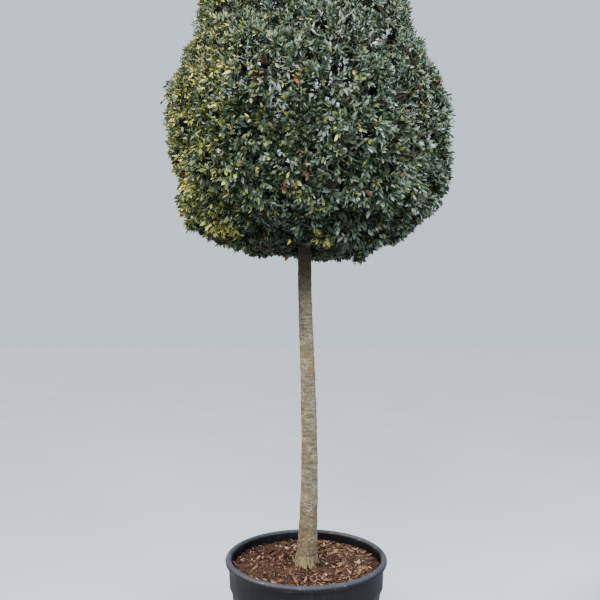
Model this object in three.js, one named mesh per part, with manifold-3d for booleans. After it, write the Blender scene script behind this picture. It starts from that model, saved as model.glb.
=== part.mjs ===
// A holm oak grown as a standard: one clear trunk in a round nursery pot, under a dense egg-shaped
// crown. Millimetres, +Z up, the origin at the centre of the pot's flat underside, and +Y away from
// the side that is seen first.

import * as THREE from 'three';
import { mergeVertices } from 'three/addons/utils/BufferGeometryUtils.js';
import Module from 'manifold-3d';

const wasm = await Module();
wasm.setup();

// The pot
const POT_HEIGHT = 520;
const RIM_RADIUS = 400;
const LIP_WIDTH = 30;
const LIP_HEIGHT = 32;
const FOOT_RADIUS = 316;
const FOOT_CHAMFER = 8;
const STEP_HEIGHT = 378; // where the wall steps out into the upper band
const STEP_OUT = 9;
const STEP_RISE = 10;
const BODY_TOP_RADIUS = 369; // of the tapered wall, just under the step
const WALL = 5;
const FLOOR = 6;
const POT_SEGMENTS = 36;
const LIP_SEGMENTS = 6;
const LIP_CURL = 0.3 * Math.PI; // how far the lip curls under outside

// The soil, a plug that fills the pot
const SEAT_GAP = 0.3; // between pieces that touch
const CUT_GAP = 0.36; // between a limb and what it is cut by
const SOIL_HEIGHT = 475; // at the trunk
const SOIL_FALL = 12; // from the trunk to the wall
const SOIL_FLAT_RADIUS = 90; // level ground under the trunk
const SOIL_SHOULDER_RADIUS = 216;

// The trunk, whose centre line bows a little to the right and back
const TRUNK_FOOT = SOIL_HEIGHT + SEAT_GAP;
const TRUNK_TIP = 3780;
const CLEAR_TRUNK_TOP = 1950;
const FOOT_DIAMETER = 88; // without the flare
const CLEAR_TOP_DIAMETER = 68;
const TIP_DIAMETER = 16;
const FLARE = 22; // added to the diameter at the foot
const FLARE_HEIGHT = 170;
const ROOT_LOBES = 5;
const ROOT_LOBE_DEPTH = 6;
const ROOT_LOBE_HEIGHT = 60;
const TRUNK_SIDES = 12;
const TRUNK_RINGS = 22;
const RING_CROWDING = 1.5; // draws the rings together at the foot
const TRUNK_BOW = [
  new THREE.Vector3(0, 0, TRUNK_FOOT),
  new THREE.Vector3(12, 2, 720),
  new THREE.Vector3(17, 4, 980),
  new THREE.Vector3(11, 3, 1340),
  new THREE.Vector3(-6, 0, 1860),
  new THREE.Vector3(-4, -6, 2500),
  new THREE.Vector3(7, 5, 3150),
  new THREE.Vector3(0, 0, TRUNK_TIP),
];

// The crown, an egg about its widest level
const CROWN_RADIUS = 745;
const CROWN_LEVEL = 2700;
const CROWN_DROP = 740; // from the widest level to the underside
const CROWN_RISE = 1350; // from the widest level to the top
const DROP_POWER = 3; // a full, almost flat underside
const RISE_POWER = 1.6; // a pointed dome
const LUMP = 0.03; // share of the reach by which the surface swells and dips
const HEART = new THREE.Vector3(0, 0, CROWN_LEVEL);

// Each tier is a ring of masses between two angles from the vertical at the crown's heart, in
// degrees, and turn is the azimuth of its first mass. core tells how deep under the crown's surface
// the outer and inner sides of the leafy cores lie. The boughs leave the trunk at foot or up to
// spread above it, bough is their radius there, and aim is how far down their masses they end.
const TIERS = [
  {
    name: 'skirt', count: 4, from: 134, to: 171, turn: 20, core: [62, 150],
    foot: 2110, spread: 70, bough: 15, aim: 0.24,
  },
  {
    name: 'lower', count: 6, from: 100, to: 134, turn: 0, core: [70, 215],
    foot: 2225, spread: 130, bough: 17, aim: -0.16,
  },
  {
    name: 'middle', count: 6, from: 68, to: 100, turn: 30, core: [70, 215],
    foot: 2430, spread: 160, bough: 16, aim: 0,
  },
  {
    name: 'upper', count: 5, from: 40, to: 68, turn: 10, core: [70, 215],
    foot: 2690, spread: 160, bough: 13, aim: 0,
  },
  {
    name: 'top', count: 3, from: 15, to: 40, turn: 50, core: [70, 215],
    foot: 2980, spread: 150, bough: 10, aim: 0,
  },
];
const TIP_TIER = { name: 'tip', count: 1, from: 0, to: 15, turn: 0, core: [70, 230] };

// Boughs and twigs
const BOUGH_SIDES = 6;
const BOUGH_RINGS = 3;
const BOUGH_TAPER = 0.55; // tip radius over foot radius
const BOUGH_COLLAR = 1.35; // swelling where it leaves the trunk
const BOUGH_END = 22; // from its tip to the core's inner side
const STEM_SIDES = 6;
const STEM_REACH = 0.6; // share of the core's depth that the stem crosses
const TWIG_SIDES = 3;
const TWIG_RADIUS = 7;
const TWIG_TIP_RADIUS = 4;
const TWIG_END = 45; // its tip's depth under the crown's surface
const TWIG_SPREAD = 0.77; // of the outermost twigs, as a share of half the space
const EVEN_STEPS = [0.7549, 0.5698];

// Leaves, each as large as the spray that it stands for
const LEAVES_ON_TWIG = [2, 2, 3, 2, 2, 2]; // of each twig on a stem
const LEAF_ROOT = 116; // depth of its root under the crown's surface
const LEAF_ROOT_SPACING = 9; // from its root to its twig's centre
const LEAF_SPLAY = 122; // how far its tip lies from its twig
const LEAF_WIDTH = 84;
const LEAF_THICKNESS = 6;
const LEAF_ATTEMPTS = 4; // to find a place for a leaf
const MOST_JOINT_FACES = 34; // added by one twig or leaf

// How far a mass keeps inside its space, its core does, and both keep from a limb
const SPACE_MARGIN = 6;
const CORE_MARGIN = 10;
const LIMB_MARGIN = 15;

// The cores are blocks with rounded edges
const CORE_ROWS = 2;
const CORE_FACET = 20; // degrees of azimuth
const CORE_POWER = 12;

const radians = THREE.MathUtils.degToRad;
const TAU = 2 * Math.PI;
const GRID = 1e-4; // to which corners are rounded
const UP = new THREE.Vector3(0, 0, 1);
const EAST = new THREE.Vector3(1, 0, 0);
const lerp = THREE.MathUtils.lerp;

const plastic = new THREE.MeshStandardMaterial({ color: 0x23282e, roughness: 0.6, metalness: 0 });
const soilMatter = new THREE.MeshStandardMaterial({ color: 0x4a3426, roughness: 1, metalness: 0 });
const bark = new THREE.MeshStandardMaterial({ color: 0x6b5f52, roughness: 0.95, metalness: 0 });
const foliage = new THREE.MeshStandardMaterial({ color: 0x2f4a2a, roughness: 0.7, metalness: 0 });

// An even random number from 0 to 1 that is fixed by its two seeds
function chance(a, b) {
  const wave = Math.sin(a * 127.1 + b * 311.7) * 43758.5453;
  return wave - Math.floor(wave);
}

// A closed skin over rings that have the same number of points, from the first ring to the last
function loft(rings) {
  const sides = rings[0].length;
  const faces = [];
  for (let ring = 0; ring + 1 < rings.length; ring += 1) {
    for (let side = 0; side < sides; side += 1) {
      const next = (side + 1) % sides;
      const low = ring * sides;
      const high = low + sides;
      faces.push(low + side, low + next, high + next);
      faces.push(low + side, high + next, high + side);
    }
  }
  const last = (rings.length - 1) * sides;
  for (let side = 1; side + 1 < sides; side += 1) {
    faces.push(0, side + 1, side);
    faces.push(last, last + side, last + side + 1);
  }
  const geometry = new THREE.BufferGeometry();
  geometry.setFromPoints(rings.flat());
  geometry.setIndex(faces);
  return geometry;
}

// A tapering limb along a curve, cut square at both ends
function limb(curve, sides, steps, radiusAt) {
  const rings = [];
  const upright = Math.abs(curve.getTangent(0).z) > 0.95;
  for (let step = 0; step <= steps; step += 1) {
    const share = step / steps;
    const centre = curve.getPoint(share);
    const along = curve.getTangent(share);
    const across = new THREE.Vector3().crossVectors(upright ? EAST : UP, along).normalize();
    const over = new THREE.Vector3().crossVectors(along, across);
    const ring = [];
    for (let side = 0; side < sides; side += 1) {
      const turn = (side / sides) * TAU;
      const point = centre.clone();
      point.addScaledVector(across, radiusAt(share) * Math.cos(turn));
      point.addScaledVector(over, radiusAt(share) * Math.sin(turn));
      ring.push(point);
    }
    rings.push(ring);
  }
  return loft(rings);
}

// A closed geometry as a solid that can be joined and cut
function toSolid(geometry) {
  const bare = new THREE.BufferGeometry();
  bare.setAttribute('position', geometry.getAttribute('position'));
  bare.setIndex(geometry.getIndex());
  const merged = mergeVertices(bare, 0.001);
  const vertProperties = new Float32Array(merged.getAttribute('position').array);
  const triVerts = new Uint32Array(merged.getIndex().array);
  return new wasm.Manifold(new wasm.Mesh({ numProp: 3, vertProperties, triVerts }));
}

// A solid's skin
function geometryOf(solid) {
  const mesh = solid.getMesh();
  const geometry = new THREE.BufferGeometry();
  geometry.setAttribute('position', new THREE.BufferAttribute(mesh.vertProperties, 3));
  geometry.setIndex(new THREE.BufferAttribute(mesh.triVerts, 1));
  return geometry;
}

function largestPiece(solid) {
  const pieces = solid.decompose();
  pieces.sort((one, other) => other.volume() - one.volume());
  return pieces[0];
}

// A solid without loose scraps and sealed hollows, which can come apart only when its corners are
// rounded, so they are dropped before and after that
function cleaned(solid) {
  return largestPiece(toSolid(geometryOf(largestPiece(solid))));
}

// Whether every edge still has two faces, one each way, with the corners rounded to the grid
function closes(solid) {
  const { vertProperties, triVerts } = solid.getMesh();
  const corner = (vertex) => {
    const values = Array.from(vertProperties.subarray(vertex * 3, vertex * 3 + 3));
    return values.map((value) => Math.round(value / GRID)).join();
  };
  const edges = new Set();
  for (let first = 0; first < triVerts.length; first += 3) {
    const keys = [0, 1, 2].map((index) => corner(triVerts[first + index]));
    for (let index = 0; index < 3; index += 1) {
      const edge = `${keys[index]} ${keys[(index + 1) % 3]}`;
      if (edges.has(edge) || keys[index] === keys[(index + 1) % 3]) return false;
      edges.add(edge);
    }
  }
  return [...edges].every((edge) => edges.has(edge.split(' ').reverse().join(' ')));
}

// A solid with one more piece fused on, or null where the joint would be torn or full of slivers
function fused(solid, piece) {
  const joined = cleaned(solid.add(piece));
  const clean = joined.numTri() - solid.numTri() <= MOST_JOINT_FACES;
  return clean && closes(joined) ? joined : null;
}

// A mesh with the name that its piece goes by
function named(name, geometry, material) {
  const mesh = new THREE.Mesh(geometry, material);
  mesh.name = name;
  return mesh;
}

// A solid of revolution about the vertical axis, from pairs of radius and height
function turned(...pairs) {
  const profile = pairs.map(([radius, height]) => new THREE.Vector2(radius, height));
  return new THREE.LatheGeometry(profile, POT_SEGMENTS).rotateX(Math.PI / 2);
}

// A round nursery pot with a tapered wall, an upper band and a rolled lip
function pot() {
  const bandFoot = STEP_HEIGHT + STEP_RISE;
  const bandRadius = BODY_TOP_RADIUS + STEP_OUT;
  const lipFoot = POT_HEIGHT - LIP_HEIGHT;
  const lipCentre = RIM_RADIUS - LIP_WIDTH / 2;
  const lip = [];
  for (let step = 0; step <= LIP_SEGMENTS; step += 1) {
    const turn = lerp(-LIP_CURL, Math.PI, step / LIP_SEGMENTS);
    const radius = lipCentre + (LIP_WIDTH / 2) * Math.cos(turn);
    const height = POT_HEIGHT - LIP_HEIGHT / 2 + (LIP_HEIGHT / 2) * Math.sin(turn);
    lip.push([radius, height]);
  }
  const skin = turned(
    [0, 0],
    [FOOT_RADIUS - FOOT_CHAMFER, 0],
    [FOOT_RADIUS, FOOT_CHAMFER],
    [BODY_TOP_RADIUS, STEP_HEIGHT],
    [bandRadius, bandFoot],
    [bandRadius + WALL, lipFoot],
    ...lip,
    [bandRadius - WALL, bandFoot],
    [BODY_TOP_RADIUS - WALL, STEP_HEIGHT],
    [FOOT_RADIUS - WALL, FLOOR],
    [0, FLOOR],
  );
  return named('pot', skin, plastic);
}

// Potting soil up to a little under the lip, slightly raised round the trunk
function soil() {
  const gap = WALL + CUT_GAP;
  const skin = turned(
    [0, FLOOR + SEAT_GAP],
    [FOOT_RADIUS - gap, FLOOR + SEAT_GAP],
    [BODY_TOP_RADIUS - gap, STEP_HEIGHT],
    [RIM_RADIUS - LIP_WIDTH - SEAT_GAP, SOIL_HEIGHT - SOIL_FALL],
    [SOIL_SHOULDER_RADIUS, SOIL_HEIGHT - SOIL_FALL / 3],
    [SOIL_FLAT_RADIUS, SOIL_HEIGHT],
    [0, SOIL_HEIGHT],
  );
  return named('soil', skin, soilMatter);
}

const trunkLine = new THREE.CatmullRomCurve3(TRUNK_BOW);

// The point of the trunk's centre line at a height
function trunkCentre(height) {
  let low = 0;
  let high = 1;
  while (high - low > 1e-7) {
    const middle = (low + high) / 2;
    if (trunkLine.getPoint(middle).z < height) low = middle;
    else high = middle;
  }
  return trunkLine.getPoint(low);
}

function trunkRadius(height) {
  const clear = (height - TRUNK_FOOT) / (CLEAR_TRUNK_TOP - TRUNK_FOOT);
  const inCrown = (height - CLEAR_TRUNK_TOP) / (TRUNK_TIP - CLEAR_TRUNK_TOP);
  const taper = clear < 1
    ? lerp(FOOT_DIAMETER, CLEAR_TOP_DIAMETER, clear)
    : lerp(CLEAR_TOP_DIAMETER, TIP_DIAMETER, inCrown);
  return (taper + FLARE * Math.exp((TRUNK_FOOT - height) / FLARE_HEIGHT)) / 2;
}

// Level rings up the trunk, closer together at the flared foot, with root lobes that soon fade
function trunkSkin(extra) {
  const rings = [];
  for (let step = 0; step <= TRUNK_RINGS; step += 1) {
    const height = lerp(TRUNK_FOOT, TRUNK_TIP, (step / TRUNK_RINGS) ** RING_CROWDING);
    const centre = trunkCentre(height);
    const fade = Math.exp((TRUNK_FOOT - height) / ROOT_LOBE_HEIGHT);
    const ring = [];
    for (let side = 0; side < TRUNK_SIDES; side += 1) {
      const turn = (side / TRUNK_SIDES) * TAU;
      const lobe = ROOT_LOBE_DEPTH * fade * Math.cos(ROOT_LOBES * turn);
      const radius = trunkRadius(height) + lobe + extra;
      ring.push(new THREE.Vector3(
        centre.x + radius * Math.cos(turn),
        centre.y + radius * Math.sin(turn),
        height,
      ));
    }
    rings.push(ring);
  }
  return loft(rings);
}

// The unit vector from the heart at an azimuth and an angle from the vertical
function ray(azimuth, angle) {
  const level = Math.sin(angle);
  return new THREE.Vector3(level * Math.cos(azimuth), level * Math.sin(azimuth), Math.cos(angle));
}

// How far the crown reaches from its heart along a ray
function crownReach(azimuth, angle) {
  const across = Math.sin(angle) / CROWN_RADIUS;
  const along = Math.cos(angle);
  const power = along > 0 ? RISE_POWER : DROP_POWER;
  const height = Math.abs(along) / (along > 0 ? CROWN_RISE : CROWN_DROP);
  const egg = (across ** power + height ** power) ** (-1 / power);
  const swell = Math.sin(3 * azimuth + 1.3) * Math.sin(4 * angle + 0.5);
  const ripple = Math.sin(5 * azimuth - 6 * angle);
  return egg * (1 + LUMP * Math.sin(angle) * (swell + 0.6 * ripple));
}

// The space of one mass: a part of the crown between two azimuths and two angles
function massSpace(tier, index) {
  const half = Math.PI / tier.count;
  return {
    tier,
    index,
    half,
    azimuth: radians(tier.turn) + index * 2 * half,
    from: radians(tier.from),
    to: radians(tier.to),
    seed: tier.from + index,
  };
}

// Whether a space goes all the way round, so that it has no sides and no upper edge
function atTip(space) {
  return space.from === 0;
}

// A point of a space, by its shares across and down it from -1 to 1, its depth under the crown's
// surface and the margin to keep at the edges
function place(space, across, down, depth, margin) {
  const rough = lerp(space.from, space.to, (1 + down) / 2);
  const distance = crownReach(space.azimuth + across * space.half, rough) - depth;
  const upper = atTip(space) ? 0 : space.from + margin / distance;
  const angle = lerp(upper, space.to - margin / distance, (1 + down) / 2);
  const aside = atTip(space) ? space.half : space.half - margin / (distance * Math.sin(angle));
  const azimuth = space.azimuth + across * aside;
  return ray(azimuth, angle).multiplyScalar(crownReach(azimuth, angle) - depth).add(HEART);
}

// An angle brought between half a turn back and half a turn on
function wrapped(angle) {
  return angle - TAU * Math.round(angle / TAU);
}

// Whether a point keeps to a space and clear of the trunk
function holds(space, point) {
  const offset = point.clone().sub(HEART);
  const distance = offset.length();
  const angle = Math.acos(offset.z / distance);
  const azimuth = Math.atan2(offset.y, offset.x);
  const radius = Math.hypot(offset.x, offset.y);
  const aside = space.half - Math.abs(wrapped(azimuth - space.azimuth));
  const lowerRoom = distance * Math.sin(space.to - angle);
  const upperRoom = atTip(space) ? SPACE_MARGIN : distance * Math.sin(angle - space.from);
  const sideRoom = atTip(space) ? SPACE_MARGIN : radius * Math.sin(aside);
  const deepest = space.tier.core[1] + BOUGH_END;
  const trunkRoom = point.z > TRUNK_TIP ? LIMB_MARGIN : radius - trunkRadius(point.z);
  return Math.min(lowerRoom, upperRoom, sideRoom) >= SPACE_MARGIN - GRID
    && trunkRoom >= LIMB_MARGIN
    && distance > crownReach(azimuth, angle) - deepest;
}

// A block with round edges and corners that fills the space between the core's two depths, or a
// cap that goes all the way round at the crown's tip
function core(space) {
  const [outer, inner] = space.tier.core;
  const columns = Math.round((2 * space.half) / radians(CORE_FACET));
  const geometry = atTip(space)
    ? new THREE.IcosahedronGeometry(1, 1)
    : new THREE.BoxGeometry(2, 2, 2, columns, CORE_ROWS, 1);
  const position = geometry.getAttribute('position');
  for (let index = 0; index < position.count; index += 1) {
    const point = new THREE.Vector3().fromBufferAttribute(position, index);
    const sum = point.toArray().reduce((total, value) => total + Math.abs(value) ** CORE_POWER, 0);
    point.divideScalar(sum ** (1 / CORE_POWER));
    if (atTip(space)) {
      const turn = wrapped(Math.atan2(point.y, point.x));
      point.y = 1 - 2 * Math.min(1, Math.hypot(point.x, point.y));
      point.x = turn / space.half;
    }
    const depth = lerp(inner, outer, (1 + point.z) / 2);
    const placed = place(space, point.x, -point.y, depth, CORE_MARGIN);
    position.setXYZ(index, placed.x, placed.y, placed.z);
  }
  return toSolid(geometry);
}

// A flat leaf of eight faces, broad side out
function leaf(root, tip) {
  const along = tip.clone().sub(root);
  const out = root.clone().sub(HEART);
  const side = new THREE.Vector3().crossVectors(along, out).setLength(LEAF_WIDTH / 2);
  const face = new THREE.Vector3().crossVectors(along, side).setLength(LEAF_THICKNESS / 2);
  const middle = root.clone().lerp(tip, 0.5);
  const matrix = new THREE.Matrix4().makeBasis(along.multiplyScalar(0.5), side, face);
  matrix.setPosition(middle);
  return new THREE.OctahedronGeometry(1).applyMatrix4(matrix);
}

function cornersOf(geometry) {
  const position = geometry.getAttribute('position');
  const corners = [];
  for (let index = 0; index < position.count; index += 1) {
    corners.push(new THREE.Vector3().fromBufferAttribute(position, index));
  }
  return corners;
}

// One leaf of a twig's end, at a share of the turn round it, or null if it would leave the space
function leafOn(space, across, down, share, seed) {
  const foot = place(space, across, down, LEAF_ROOT, SPACE_MARGIN);
  const out = foot.clone().sub(HEART).normalize();
  const east = new THREE.Vector3().crossVectors(UP, out).normalize();
  const north = new THREE.Vector3().crossVectors(out, east);
  const turn = (share + 0.25 * chance(seed, 7)) * TAU;
  const splay = LEAF_SPLAY * lerp(0.7, 1.1, chance(seed, 8));
  const sideways = east.multiplyScalar(Math.cos(turn)).addScaledVector(north, Math.sin(turn));
  const root = foot.clone().addScaledVector(sideways, LEAF_ROOT_SPACING);
  const aim = foot.addScaledVector(sideways, splay).sub(HEART).normalize();
  const reach = crownReach(Math.atan2(aim.y, aim.x), Math.acos(aim.z));
  const blade = leaf(root, aim.multiplyScalar(reach).add(HEART));
  return cornersOf(blade).every((corner) => holds(space, corner)) ? blade : null;
}

// The solid with a leaf that keeps to its space and joins cleanly, found in a few attempts
function withLeaf(solid, leafAt) {
  for (let attempt = 0; attempt < LEAF_ATTEMPTS; attempt += 1) {
    const blade = leafAt(attempt);
    const joined = blade && fused(solid, toSolid(blade));
    if (joined) return joined;
  }
  return solid;
}

// Where the end of a stem's twig lies across and down its space: steps that fill it evenly, with a
// little chance
function twigPlace(index, seed) {
  const [across, down] = EVEN_STEPS.map((step) => 2 * (((index + 0.5) * step) % 1) - 1);
  return [across * TWIG_SPREAD, down * TWIG_SPREAD + 0.1 * (2 * chance(seed, 3) - 1)];
}

function twigTaper(share) {
  return lerp(TWIG_RADIUS, TWIG_TIP_RADIUS, share);
}

// One mass: a stem that goes on from its bough, twigs that branch from it to evenly spread
// places, the core that they stand out of, and the leaves at their ends
function mass(space, start, heading, stemRadius, cutters) {
  const [outer, inner] = space.tier.core;
  const lean = atTip(space) ? -0.9 : 0;
  const heartwood = place(space, 0, lean, lerp(inner, outer, STEM_REACH), SPACE_MARGIN);
  const bend = start.clone().addScaledVector(heading, start.distanceTo(heartwood) * 0.4);
  const stemLine = new THREE.QuadraticBezierCurve3(start, bend, heartwood);
  const taper = (share) => lerp(stemRadius, TWIG_RADIUS, share);
  let solid = core(space);
  for (const cutter of cutters) solid = solid.subtract(cutter);
  solid = cleaned(solid.add(toSolid(limb(stemLine, STEM_SIDES, 3, taper))));
  for (const [index, leaves] of LEAVES_ON_TWIG.entries()) {
    const seed = space.seed + index * 13;
    const [across, down] = twigPlace(index, seed);
    const foot = stemLine.getPoint(lerp(0.45, 0.95, chance(seed, 5)));
    const end = place(space, across, down, TWIG_END, SPACE_MARGIN);
    const twig = limb(new THREE.LineCurve3(foot, end), TWIG_SIDES, 1, twigTaper);
    solid = fused(solid, toSolid(twig)) ?? solid;
    for (let rank = 0; rank < leaves; rank += 1) {
      const seedAt = (attempt) => seed + rank + attempt * 0.37;
      solid = withLeaf(solid, (attempt) => leafOn(space, across, down, rank / leaves, seedAt(attempt)));
    }
  }
  return named(`foliage_${space.tier.name}_${space.index + 1}`, geometryOf(solid), foliage);
}

// The curve of a bough, from the trunk's centre line up and out to its mass
function boughLine(space, rank) {
  const { tier } = space;
  const foot = trunkCentre(tier.foot + tier.spread * rank);
  const drift = 0.15 * (2 * chance(space.seed, 11) - 1);
  const end = place(space, drift, tier.aim, tier.core[1] + BOUGH_END, SPACE_MARGIN);
  const elbow = foot.clone().lerp(end, 0.5);
  elbow.z = lerp(foot.z, end.z, 0.3);
  return new THREE.QuadraticBezierCurve3(foot, elbow, end);
}

function boughSolid(line, footRadius, extra) {
  const radiusAt = (share) => {
    const collar = lerp(BOUGH_COLLAR, 1, Math.min(1, share * BOUGH_RINGS));
    return footRadius * collar * lerp(1, BOUGH_TAPER, share) + extra;
  };
  return toSolid(limb(line, BOUGH_SIDES, BOUGH_RINGS, radiusAt));
}

// How high a bough of a ring leaves the trunk, from 0 to 1, with neighbours well apart
function rankOf(index, count) {
  return (index % 2) * 0.5 + Math.floor(index / 2) / count;
}

const tree = new THREE.Group();
tree.add(pot());
tree.add(soil());
tree.add(named('trunk', trunkSkin(0), bark));

const trunkCutter = toSolid(trunkSkin(CUT_GAP));
for (const tier of TIERS) {
  for (let index = 0; index < tier.count; index += 1) {
    const space = massSpace(tier, index);
    const line = boughLine(space, rankOf(index, tier.count));
    const bough = boughSolid(line, tier.bough, 0).subtract(trunkCutter);
    tree.add(named(`bough_${tier.name}_${index + 1}`, geometryOf(cleaned(bough)), bark));
    const heading = line.getTangent(1);
    const start = line.getPoint(1).addScaledVector(heading, SEAT_GAP);
    const cutter = boughSolid(line, tier.bough, LIMB_MARGIN / 2);
    tree.add(mass(space, start, heading, tier.bough * BOUGH_TAPER, [cutter]));
  }
}

const tipSpace = massSpace(TIP_TIER, 0);
const leaderTip = new THREE.Vector3(0, 0, TRUNK_TIP + SEAT_GAP);
tree.add(mass(tipSpace, leaderTip, UP, TIP_DIAMETER / 2, []));

export default tree;
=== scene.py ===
import math
from collections import namedtuple
from types import SimpleNamespace

import bpy
import numpy as np
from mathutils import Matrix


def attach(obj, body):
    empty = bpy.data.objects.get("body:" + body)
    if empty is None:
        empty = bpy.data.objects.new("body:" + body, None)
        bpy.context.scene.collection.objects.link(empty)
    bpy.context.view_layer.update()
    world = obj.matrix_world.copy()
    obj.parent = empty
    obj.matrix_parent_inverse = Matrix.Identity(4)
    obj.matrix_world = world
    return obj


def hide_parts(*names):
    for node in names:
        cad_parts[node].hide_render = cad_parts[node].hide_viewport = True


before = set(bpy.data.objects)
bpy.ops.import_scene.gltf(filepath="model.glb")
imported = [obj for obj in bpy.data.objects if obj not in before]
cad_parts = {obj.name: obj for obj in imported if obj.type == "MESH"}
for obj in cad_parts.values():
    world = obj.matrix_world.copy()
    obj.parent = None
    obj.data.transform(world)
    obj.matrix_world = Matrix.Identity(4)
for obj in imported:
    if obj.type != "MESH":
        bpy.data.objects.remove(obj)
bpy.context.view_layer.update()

# An evergreen oak in a round nursery pot. Sizes are in metres, and the crown's rule, the limbs
# and the pot's profile are those of the solids. The rule is carried on here to finer twigs.

TAU = 2 * math.pi
UP = np.array([0.0, 0.0, 1.0])

# Pot
POT_HEIGHT = 0.52
RIM_RADIUS = 0.4
LIP_WIDTH = 0.03
LIP_HEIGHT = 0.032
LIP_CURL = 0.3 * math.pi
FOOT_RADIUS = 0.316
FOOT_ROUND = 0.008
STEP_HEIGHT = 0.378
STEP_OUT = 0.009
STEP_RISE = 0.01
BODY_TOP_RADIUS = 0.369
WALL = 0.005
FLOOR = 0.006
POT_SEGMENTS = 320
BODY_ROWS = 44
ROWS_BELOW_STEP = BODY_ROWS + 7
RIBS = 48
RIB_DEPTH = 0.0007
RIB_FOOT = (0.02, 0.045)  # heights over which the ribs begin and end
RIB_HEAD = (0.362, 0.34)
PANEL_HALF_WIDTH = 0.105
PANEL_BOTTOM = 0.262
PANEL_TOP = 0.352
PANEL_RISE = 0.0028
PANEL_EDGE = 0.006
PANEL_EDGE_RISE = 0.0014
POT_WAVE = 0.0016
POT_WEAR = 0.0004
WORN_ABOVE = 0.485

# Soil
SOIL_HEIGHT = 0.472
SOIL_RISE = 0.004  # towards the trunk, between two radii
SOIL_RISE_SPAN = (0.216, 0.05)
SOIL_FALL = 0.006  # towards the pot, between two radii
SOIL_FALL_SPAN = (0.136, 0.362)
SOIL_RADIUS = 0.3697
SOIL_INSET = 0.0058
SOIL_FLOOR = 0.0065
SOIL_SEGMENTS = 256
SOIL_RINGS = 84
SOIL_LUMPS = [(0.005, 0.045), (0.003, 0.018), (0.0015, 0.008)]  # heights and widths

# Litter on the soil: colours and shares of its tints
LITTER_TINTS = {
    "tan": ((134, 107, 92), 0.19),
    "russet": ((98, 70, 58), 0.25),
    "brown": ((76, 57, 50), 0.27),
    "dark": ((53, 42, 38), 0.15),
    "ochre": ((114, 90, 66), 0.1),
    "pale": ((160, 140, 122), 0.022),
    "yellow": ((122, 118, 74), 0.008),
}
LITTER_RADIUS = 0.362
LITTER_GAP = 0.054  # from the trunk's centre
LITTER_LEAN = 0.3
DRY_LEAVES = 2000  # before those outside the patches are left out
DRY_LEAF_LENGTH = (0.012, 0.044)
DRY_LEAF_LIFT = (0.003, 0.014)
DRY_LEAF_FORM = ((0.36, 0.6), (-0.7, 1.0), (-0.45, 0.45))  # width, fold and curl
CHIPS = dict(count=4600, longest=0.009, slimness=(0.1, 0.7), flatness=(0.06, 0.2), lift=0.012)
CHIP_CORNERS = np.array([
    [-1, -0.8, -1], [0.9, -1, -1], [1, 0.7, -1], [-0.7, 1, -1],
    [-0.8, -0.6, 1], [0.7, -0.9, 1], [0.9, 0.6, 1], [-0.9, 0.8, 1],
])
CHIP_FACES = np.array([
    [0, 3, 2], [0, 2, 1], [4, 5, 6], [4, 6, 7], [0, 1, 5], [0, 5, 4],
    [1, 2, 6], [1, 6, 5], [2, 3, 7], [2, 7, 6], [3, 0, 4], [3, 4, 7],
])
CRUMBS = dict(count=15000, longest=0.0058, slimness=(0.4, 1.0), flatness=(0.4, 0.9), lift=0.008)
CRUMB_CORNERS = np.array([[-1, -0.7, -0.5], [1, -0.6, -0.5], [0, 1, -0.5], [0, 0, 1.0]])
CRUMB_FACES = np.array([[0, 2, 1], [0, 1, 3], [1, 2, 3], [2, 0, 3]])

# Trunk
TRUNK_FOOT = 0.4753
TRUNK_TIP = 3.78
CLEAR_TRUNK_TOP = 1.95
FOOT_DIAMETER = 0.088
CLEAR_TOP_DIAMETER = 0.068
TIP_DIAMETER = 0.016
FLARE = 0.022
FLARE_HEIGHT = 0.17
ROOT_LOBES = 5
ROOT_LOBE_DEPTH = 0.006
ROOT_LOBE_HEIGHT = 0.06
TRUNK_BOW = np.array([
    [0, 0, 0.4753], [0.012, 0.002, 0.72], [0.017, 0.004, 0.98], [0.011, 0.003, 1.34],
    [-0.006, 0, 1.86], [-0.004, -0.006, 2.5], [0.007, 0.005, 3.15], [0, 0, 3.78],
])
TRUNK_SIDES = 96
CLEAR_RINGS = 500
CROWN_RINGS = 110
FULL_RELIEF_RADIUS = 0.03

# The bark: heights of its relief, and knots as pairs of a height and a turn
BARK_SWELL = 0.001
BARK_RINGS = 0.0012
BARK_BANDS = 0.0013
BARK_CRACKS = 0.0016
BARK_PLATES = 0.0006
FOOT_STRANDS = 0.0034
STRAND_HEIGHT = 0.07
KNOTS = [
    (0.83, 1.9), (1.02, 4.6), (1.17, 5.6), (1.33, 0.7), (1.47, 3.6), (1.58, 5.2), (1.72, 2.2),
    (1.81, 4.3), (1.93, 5.9), (0.68, 4.9),
]
KNOT_SIZE = 0.011
KNOT_HEIGHT = 0.0022
STAIN = (0.024, -0.028, 1.46)
STAIN_REACH = (0.03, 0.06, 0.11)

# Fine roots at the trunk's foot
FIBRES = 130
FIBRE_TOP = (0.482, 0.528)
FIBRE_REACH = (0.004, 0.022)
FIBRE_FRONT_REACH = 0.055
FIBRE_KNEE = 0.003
FIBRE_RADIUS = (0.0015, 0.0005)
FIBRE_CROOK = 0.003

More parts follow.
